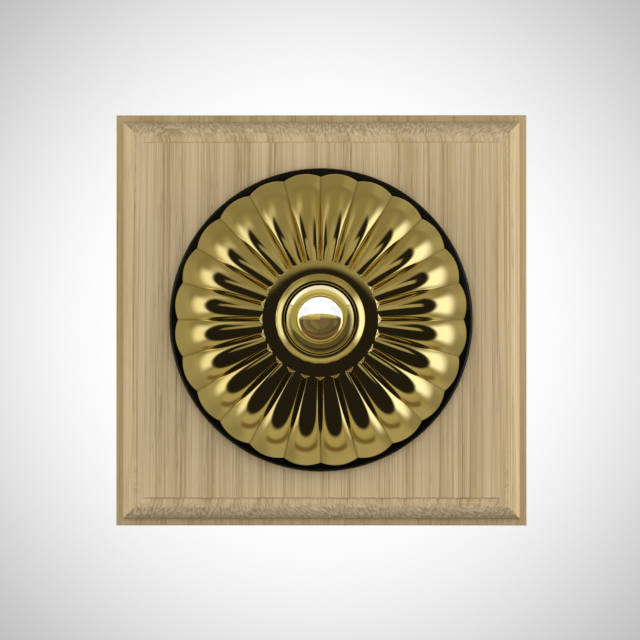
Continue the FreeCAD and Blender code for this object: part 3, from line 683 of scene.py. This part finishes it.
def buildDome():
    low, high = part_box("fluted_dome")
    lobes = dome["lobes"]
    step = 2 * math.pi / lobes
    seat = -low.y / mm
    rim = -high.y / mm
    height = seat - rim
    ridge = high.x / mm / math.cos(step / 2)
    reach = ridge - dome["seatRadius"]
    flank = math.radians(dome["flankTilt"])
    flankStart = math.atan(math.tan(flank) * reach / height)
    rimTilt = math.pi / 2

    def onSide(tilt, inset):  # (radius, out) on the side's ellipse, moved in along its normal
        normal = Vector((math.sin(tilt) / reach, math.cos(tilt) / height)).normalized()
        return (dome["seatRadius"] + reach * math.sin(tilt) - inset * normal.x,
                rim + height * math.cos(tilt) - inset * normal.y)

    def onSkin(tilt, inset):  # the outer side: ellipse, then a straight flank, then a short skirt
        if tilt <= flankStart:
            return onSide(tilt, inset)
        radius, out = onSide(flankStart, 0.0)
        share = (tilt - flankStart) / (rimTilt - flankStart)
        edge = out - (ridge - radius) * math.tan(flank)
        soft = dome["skirtSoft"]
        if share <= dome["flankShare"]:
            run = share / dome["flankShare"] * (ridge - radius - soft)
            return (radius + run - inset * math.sin(flank),
                    out - run * math.tan(flank) - inset * math.cos(flank))
        drop = (share - dome["flankShare"]) / (1 - dome["flankShare"])
        return (ridge - inset, edge - soft - (edge - soft - rim) * drop)

    def lobeArc(side, tilt, inset, depth, share):  # across one lobe, crease to crease
        left = atTurn(*side(tilt, inset + depth), 0.0)
        right = atTurn(*side(tilt, inset + depth), step)
        top = atTurn(*side(tilt, inset), step / 2)
        rise = top - (left + right) / 2
        half = (right - left) / 2
        radius = (half.length_squared + rise.length_squared) / (2 * rise.length)
        opening = 2 * math.atan2(rise.length, half.length)
        turn = opening * (2 * share - 1)
        centre = top - rise.normalized() * radius
        return centre + radius * (math.cos(turn) * rise.normalized() + math.sin(turn) * half.normalized())

    def skinPoint(side, tilt, inset, crease, share):
        lowDown = math.sin(tilt) ** dome["scallopBlend"]
        depth = crease * (1 - lowDown) + dome["scallop"] * lowDown
        plain = lobeArc(side, tilt, inset, 0.0, share)
        offset = lobeArc(side, tilt, inset, depth, share) - plain
        deep = offset.length
        run = (side(tilt, 0.0)[0] - dome["creaseStart"]) / (dome["creaseFull"] - dome["creaseStart"])
        wallCut = max(run, 0.0) * dome["endWall"] * crease * mm  # the groove's own end wall
        if deep < 1e-9 or wallCut < 1e-9:
            return plain
        power = -dome["endBlend"]
        kept = (deep ** power + wallCut ** power) ** (1 / power)
        return plain + offset * (kept / deep)

    def ring(side, tilt, inset, crease):
        shares = [k / dome["acrossLobe"] for k in range(dome["acrossLobe"])]
        lobe = [skinPoint(side, tilt, inset, crease, share) for share in shares]
        points = []
        for k in range(lobes):
            turn = Matrix.Rotation(-step * k, 3, "Y")
            points += [turn @ point for point in lobe]
        return points

    def rows(first, last, count):  # tilts from the first up to the last, which isn't among them
        return [first + (last - first) * k / count for k in range(count)]

    startTilt = math.asin((dome["creaseStart"] - dome["seatRadius"]) / reach)
    fullTilt = math.asin((dome["creaseFull"] - dome["seatRadius"]) / reach) + dome["startOver"]
    outer = rows(0.0, startTilt, dome["seatRows"]) + rows(startTilt, fullTilt, dome["startRows"])
    outer += rows(fullTilt, flankStart, dome["sideRows"])
    outer += rows(flankStart, rimTilt, dome["flankRows"]) + [rimTilt]
    inner = rows(rimTilt, 0.0, dome["innerRows"]) + [0.0]
    around = [step * k / dome["acrossLobe"] for k in range(lobes * dome["acrossLobe"])]
    hole = [[atTurn(dome["holeRadius"], out, turn) for turn in around] for out in (seat - dome["wall"], seat)]
    rings = hole + [ring(onSkin, tilt, 0.0, dome["creaseDepth"]) for tilt in outer]
    rings += [ring(onSide, tilt, dome["wall"], dome["innerDepth"]) for tilt in inner]
    mesh = ringsToMesh("flutedDome", rings)
    hollow = mesh.attributes.new("hollow", "FLOAT", "POINT")  # 1 along the creases, where the brass is dull
    firstRow = dome["seatRows"] + dome["startRows"]
    for k, value in enumerate(hollow.data):
        row = k // len(around) - len(hole)
        onCrease = k % dome["acrossLobe"] == 0
        value.value = 1.0 if onCrease and firstRow < row < len(outer) else 0.0
    return newPiece("flutedDome", mesh, "fluted_dome")


flutedDome = buildDome()
print("dome:", len(flutedDome.data.polygons), "faces")


# the ring nut, the bush and the button are turned brass
turned = {
    "segments": 256,
    "threadRadius": 7.8,
    "arris": 0.14,
}
nut = {
    "radius": 10.2,
    "skirt": 0.55,
    "flankRadius": 8.0,
    "flankRows": 18,
    "crest": 8.7,
    "crestRound": 0.12,
    "chamfer": 0.7,
}


def buildRingNut():
    low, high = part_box("ring_nut")
    seat = -high.y / mm
    top = -low.y / mm
    thread = turned["threadRadius"]
    chamferFoot = (thread, top - nut["chamfer"])
    flank = arcThrough((nut["radius"], seat + nut["skirt"]), (nut["crest"], top), nut["flankRadius"],
                       nut["flankRows"])
    crest = softCorner(flank[-1], (thread + nut["chamfer"] / 2, top), chamferFoot, nut["crestRound"])
    foot = softCorner((thread, seat), (nut["radius"], seat), flank[0], turned["arris"])
    profile = [(thread, seat)] + foot + flank + crest + [chamferFoot]
    return newPiece("ringNut", lathe("ringNut", profile, turned["segments"]), "ring_nut")


bush = {
    "chamfer": 1.1,
    "crown": 0.12,
    "flangeRadius": 10.5,
    "flangeLow": 42.6,
    "flangeHigh": 44.2,
    "bore": 5.25,
    "stemHole": 2.35,
    "floor": 1.5,
}


def buildBush():
    low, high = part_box("threaded_bush")
    bottom = -high.y / mm
    front = -low.y / mm
    thread = turned["threadRadius"]
    bore = bush["bore"]
    flange = bush["flangeRadius"]
    outer = (thread, front - bush["chamfer"])
    edge = (thread - bush["chamfer"], front - bush["crown"])
    profile = [(bush["stemHole"], bottom), (thread, bottom), (thread, bush["flangeLow"])]
    profile += [(flange, bush["flangeLow"]), (flange, bush["flangeHigh"])]
    profile += [(thread, bush["flangeHigh"]), outer]
    profile += softCorner(outer, edge, (bore, front), turned["arris"])
    profile += softCorner(edge, (bore, front), (bore, bottom), turned["arris"])
    profile += [(bore, bottom + bush["floor"]), (bush["stemHole"], bottom + bush["floor"])]
    return newPiece("threadedBush", lathe("threadedBush", profile, turned["segments"]), "threaded_bush")


button = {
    "radius": 5.2,
    "crown": 2.2,
    "crownRows": 28,
    "edgeRound": 0.35,
    "edgeTrim": 2.2,  # degrees of the crown that the rounded edge takes
    "wall": 1.0,
    "crownWall": 3.0,
    "capEdge": 44.0,
    "stem": 2.25,
    "stemChamfer": 0.3,
    "groove": 0.5,
    "grooveTop": 38.5,
    "grooveLow": 37.7,
}


def buildButton():
    low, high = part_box("push_button")
    tip = -low.y / mm
    end = -high.y / mm
    radius = button["radius"]
    crown = button["crown"]
    sphere = (radius ** 2 + crown ** 2) / (2 * crown)
    edge = math.degrees(math.acos(radius / sphere))
    dish = arc((0.0, tip - sphere), sphere, edge + button["edgeTrim"], 90, button["crownRows"])
    corner = softCorner((radius, button["capEdge"]), (radius, tip - crown), dish[0], button["edgeRound"])
    inside = radius - button["wall"]
    ceiling = tip - button["crownWall"]
    stem = button["stem"]
    waist = stem - button["groove"]
    chamfer = button["stemChamfer"]
    profile = [(0.0, end), (stem - chamfer, end), (stem, end + chamfer), (stem, button["grooveLow"])]
    profile += [(waist, button["grooveLow"]), (waist, button["grooveTop"]), (stem, button["grooveTop"])]
    profile += [(stem, ceiling), (inside, ceiling), (inside, button["capEdge"]), (radius, button["capEdge"])]
    profile += corner + dish[1:-1] + [(0.0, tip)]
    mesh = lathe("pushButton", profile, turned["segments"])
    return newPiece("pushButton", mesh, "push_button", "press_button")


ringNut = buildRingNut()
threadedBush = buildBush()
pushButton = buildButton()
print("turned brass:", [piece.name for piece in (ringNut, threadedBush, pushButton)])


# the return spring: round wire, closed up as the button goes in
spring = {
    "wire": 0.35,
    "coil": 3.5,
    "turns": 4.5,
    "sides": 10,
    "perTurn": 40,
    "travel": 3.5,
}


def buildSpring():
    low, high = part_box("return_spring")
    start = -high.y / mm
    end = -low.y / mm
    wire = spring["wire"]
    rise = end - start - 2 * wire
    count = int(spring["turns"] * spring["perTurn"])
    rings = []
    for k in range(count + 1):
        turn = 2 * math.pi * spring["turns"] * k / count
        level = start + wire + rise * k / count
        loop = []
        for side in range(spring["sides"]):
            aside = 2 * math.pi * side / spring["sides"]
            loop.append(atTurn(spring["coil"] + wire * math.cos(aside), level + wire * math.sin(aside), turn))
        rings.append(loop)
    tips = [[sum(loop, Vector()) / spring["sides"]] for loop in (rings[0], rings[-1])]
    mesh = ringsToMesh("returnSpring", tips[:1] + rings + tips[1:])
    piece = newPiece("returnSpring", mesh, "return_spring")
    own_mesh(piece)
    return piece


returnSpring = buildSpring()
print("spring:", len(returnSpring.data.polygons), "faces")


# the pale floor, which lights nothing
studioFloor = {
    "low": -0.45,
    "near": -6.0,
    "far": 1.6,
    "half": 4.0,
    "colour": (0.80, 0.80, 0.79),
    "shade": 0.97,
    "mottleScale": 6.0,
    "roughness": (0.8, 0.1),
    "glow": 0.60,
}


def floorFinish(start):
    mottle = start.node("ShaderNodeTexCoord", out="Object").noise(studioFloor["mottleScale"], detail=3.0)
    pale = studioFloor["colour"]
    colour = mottle.paint(pale, tuple(studioFloor["shade"] * value for value in pale))
    rough, roughMore = studioFloor["roughness"]
    return {
        "Base Color": colour,
        "Roughness": rough + roughMore * mottle,
        "Emission Color": colour,
        "Emission Strength": studioFloor["glow"],
    }


def buildFloor():
    mesh = bpy.data.meshes.new("floor")
    build = bmesh.new()
    half = studioFloor["half"]
    near, far = studioFloor["near"], studioFloor["far"]
    corners = [(-half, near), (half, near), (half, far), (-half, far)]
    build.faces.new([build.verts.new((x, y, studioFloor["low"])) for x, y in corners])
    build.to_mesh(mesh)
    build.free()
    floor = bpy.data.objects.new("floor", mesh)
    bpy.context.scene.collection.objects.link(floor)
    mesh.materials.append(newMaterial("paleFloor", floorFinish))
    floor.visible_glossy = False
    floor.visible_diffuse = False  # its glow is for the picture alone


# soft lamps for the wood and the black base
lamps = {  # place in metres, size, watts
    "rightLamp": ((0.85, -0.13, 0.05), 0.6, 6.6),
    "leftLamp": ((-0.85, -0.13, 0.05), 0.6, 4.6),
    "frontLamp": ((0.05, -1.28, 0.14), 0.9, 9.2),
}


def newLamp(name, place, faces, size, watts):  # an area lamp that the camera doesn't see
    lamp = bpy.data.lights.new(name, "AREA")
    lamp.size = size
    lamp.energy = watts
    holder = bpy.data.objects.new(name, lamp)
    bpy.context.scene.collection.objects.link(holder)
    holder.location = place
    holder.rotation_euler = Vector(faces).to_track_quat("-Z", "Y").to_euler()
    holder.visible_camera = False
    return holder


def buildLamps():
    for name, (place, size, watts) in lamps.items():
        holder = newLamp(name, place, -Vector(place), size, watts)
        holder.visible_glossy = False


# lit cards that one piece alone reflects, sizes and places in metres
plainPanel = {"piece": "pushButton", "faces": (0, 1, 0), "round": False}
panels = {
    "window": {"place": (0.0, -0.25, 1.37), "size": (5.20, 2.60), "colour": (0.44, 0.51, 1.00),
               "strength": 2.30},
    "groundLeft": {"place": (-1.30, -0.25, 0.030), "size": (2.60, 0.075), "colour": (1.00, 0.86, 0.42),
                   "strength": 0.34},
    "groundRight": {"place": (1.30, -0.25, 0.035), "size": (2.60, 0.055), "colour": (1.00, 0.78, 0.42),
                    "strength": 0.12},
    "groundGlow": {"place": (-0.16, -0.25, -0.08), "size": (0.90, 0.38), "colour": (1.00, 0.82, 0.40),
                   "strength": 0.08, "round": True},
    "groundGlint": {"place": (-0.22, -0.25, -0.14), "size": (0.42, 0.30), "colour": (1.00, 0.82, 0.40),
                    "strength": 0.14, "round": True},
    "groundSpark": {"place": (0.30, -0.25, -0.09), "size": (0.34, 0.13), "colour": (1.00, 0.85, 0.50),
                    "strength": 0.12, "round": True},
    "groundMiddle": {"place": (0.0, -0.25, -0.26), "size": (5.20, 0.66), "colour": (1.00, 0.80, 0.56),
                     "strength": 0.08},
    "groundLow": {"place": (0.0, -0.25, -1.48), "size": (5.20, 2.24), "colour": (1.00, 0.50, 0.22),
                  "strength": 0.10},
    "bushGlow": {"piece": "threadedBush", "place": (-0.14, -0.60, 0.27), "size": (0.80, 0.62),
                 "colour": (1.00, 0.97, 0.32), "strength": 0.36, "round": True},
    "bushLow": {"piece": "threadedBush", "place": (0.0, -0.60, -0.10), "size": (1.60, 1.20),
                "colour": (1.00, 0.76, 0.30), "strength": 0.10, "round": True},
    "bushTop": {"piece": "threadedBush", "faces": (0, 0, -1), "place": (0.0, -0.05, 0.50),
                "size": (2.2, 0.60), "colour": (0.52, 0.62, 1.00), "strength": 1.25, "round": True},
}


def buildPanels():
    for name, own in panels.items():
        panel = {**plainPanel, **own}
        width, height = panel["size"]
        area = width * height * (math.pi / 4 if panel["round"] else 1)
        holder = newLamp(name, panel["place"], panel["faces"], width, math.pi * area * panel["strength"])
        holder.data.shape = "ELLIPSE" if panel["round"] else "RECTANGLE"
        holder.data.size_y = height
        holder.data.color = panel["colour"]
        only = bpy.data.collections.new(name)
        only.objects.link(bpy.data.objects[panel["piece"]])
        holder.light_linking.receiver_collection = only


# the camera stands almost straight in front, a little to the right and low
view = {
    "place": (0.007, -0.900, -0.008),
    "aim": (-0.00032, -0.0129, 0.00006),
    "angle": 9.65,
}

# the room that the brass reflects; reaches and the horizon are radians, other limits parts of a unit vector
room = {
    "ambient": 0.28,
    "dim": (0.270, 0.236, 0.118),
    "pale": (0.400, 0.352, 0.188),
    "mottleScale": 1.5,
    "mottleEdge": (0.30, 0.70),
    "dark": (0.016, 0.014, 0.010),
    "darkReach": (1.34, 1.48),
    "darkDrop": 0.05,
    "horizon": 0.11,
    "horizonTilt": -0.06,
    "horizonSoft": 0.05,
    "archReach": (1.00, 1.12),
    "archBend": 0.38,
    "archSpread": 0.90,
    "archTop": 0.76,
    "archTopTilt": 0.03,
    "archTopSoft": 0.10,
    "sideStart": (0.60, 0.90),
    "sideTop": (0.30, 0.66),
    "rightLight": (1.22, 1.24, 1.12),
    "rightBack": (-0.60, -0.15),
    "leftLight": (1.00, 0.97, 0.76),
    "leftBack": (-0.36, -0.04),
    "window": (0.52, 0.47, 0.30),
    "windowStart": (0.30, 0.55),
    "windowBack": (-0.10, 0.08),
    "topBand": (0.250, 0.218, 0.108),
    "topStart": (0.55, 0.80),
    "topBack": (-0.52, -0.44),
    "topFront": (-0.36, -0.24),
    "lowGold": (0.430, 0.375, 0.175),
    "goldStart": (0.55, 0.80),
    "goldBack": (-0.20, 0.0),
    "lowBrown": (0.185, 0.130, 0.045),
    "brownStart": (0.68, 0.84),
    "brownBack": (-0.46, -0.32),
    "brownFront": (-0.26, -0.14),
}


def roomColour(way):  # dark below the horizon and along an arch above it, soft boxes at both sides
    x, y, z = way.parts()
    front = -y
    reach = front.maths("ARCCOSINE", front)  # how far round from the front
    off = (x * x + z * z + 1e-6) ** 0.5
    slope = z / off
    aside = reach * x / off
    horizon = room["horizon"] + room["horizonTilt"] * aside
    ground = 1 - (reach * slope - horizon).step(-room["horizonSoft"], room["horizonSoft"])
    archTop = room["archTop"] + room["archTopTilt"] * aside
    bend = (slope - room["archBend"]).atLeast(0.0)
    arch = (reach + room["archSpread"] * bend).step(*room["archReach"])
    arch = arch * (1 - (slope - archTop).step(-room["archTopSoft"], room["archTopSoft"]))
    beyond = (reach + room["darkDrop"] * slope).step(*room["darkReach"])
    level = 1 - abs(z).step(*room["sideTop"])
    right = x.step(*room["sideStart"]) * level * front.step(*room["rightBack"]) * beyond
    left = (-x).step(*room["sideStart"]) * level * front.step(*room["leftBack"]) * beyond
    window = (-x).step(*room["windowStart"]) * z.step(*room["windowStart"]) * front.step(*room["windowBack"])
    top = z.step(*room["topStart"]) * (1 - front.step(*room["topFront"])) * front.step(*room["topBack"])
    gold = (-z).step(*room["goldStart"]) * front.step(*room["goldBack"])
    brown = (-z).step(*room["brownStart"]) * (1 - front.step(*room["brownFront"]))
    mottle = way.noise(room["mottleScale"], detail=0.0).step(*room["mottleEdge"])
    seen = mottle.paint(room["dim"], room["pale"])
    seen = top.paint(seen, room["topBand"])
    seen = gold.paint(seen, room["lowGold"])
    seen = (brown * front.step(*room["brownBack"])).paint(seen, room["lowBrown"])
    seen = (window * beyond).paint(seen, room["window"])
    seen = left.paint(seen, room["leftLight"])
    seen = right.paint(seen, room["rightLight"])
    return ((1 - beyond) * ground.atLeast(arch)).paint(seen, room["dark"])


# the backdrop that the camera sees: white in the middle of the picture, greyer outwards
backdrop = {
    "fall": (0.045, 0.15),
    "drop": 0.60,
    "far": (0.16, 0.40),
    "lift": 0.50,
}


def backdropColour(way):
    parts = way.parts()
    middle = (Vector(view["aim"]) - Vector(view["place"])).normalized()
    offX = parts[0] - middle.x
    offZ = parts[2] - middle.z
    spread = (offX * offX + offZ * offZ) ** 0.5
    pale = 1 - backdrop["drop"] * spread.step(*backdrop["fall"])
    pale = pale + backdrop["lift"] * spread.step(*backdrop["far"])
    return way.vector(pale, pale, pale)


def buildRoom():
    world = bpy.data.worlds.new("studio")
    bpy.context.scene.world = world
    world.use_nodes = True
    world.node_tree.nodes.clear()
    start = Sock(world.node_tree)
    way = start.node("ShaderNodeTexCoord", out="Generated")
    path = start.node("ShaderNodeLightPath")
    mirrored = path.sibling("Is Glossy Ray").atLeast(path.sibling("Is Transmission Ray"))

    def light(colour, strength=1.0):
        return start.node("ShaderNodeBackground", {}, {"Color": colour, "Strength": strength})

    lit = start.node("ShaderNodeMixShader", {}, {0: mirrored, 1: light((1.0, 1.0, 1.0), room["ambient"]),
                                                 2: light(roomColour(way))})
    whole = start.node("ShaderNodeMixShader", {}, {0: path.sibling("Is Camera Ray"), 1: lit,
                                                   2: light(backdropColour(way))})
    output = world.node_tree.nodes.new("ShaderNodeOutputWorld")
    start.feed(output.inputs["Surface"], whole)


buildFloor()
buildLamps()
buildPanels()
buildRoom()
print("studio:", len(lamps), "lamps and", len(panels), "panels")


camera = bpy.data.objects.new("camera", bpy.data.cameras.new("camera"))
bpy.context.scene.collection.objects.link(camera)
camera.location = view["place"]
camera.rotation_euler = (Vector(view["aim"]) - camera.location).to_track_quat("-Z", "Y").to_euler()
camera.data.angle = math.radians(view["angle"])
bpy.context.scene.camera = camera
bpy.context.scene.view_settings.view_transform = "Standard"
print("camera:", [round(value, 3) for value in camera.location])
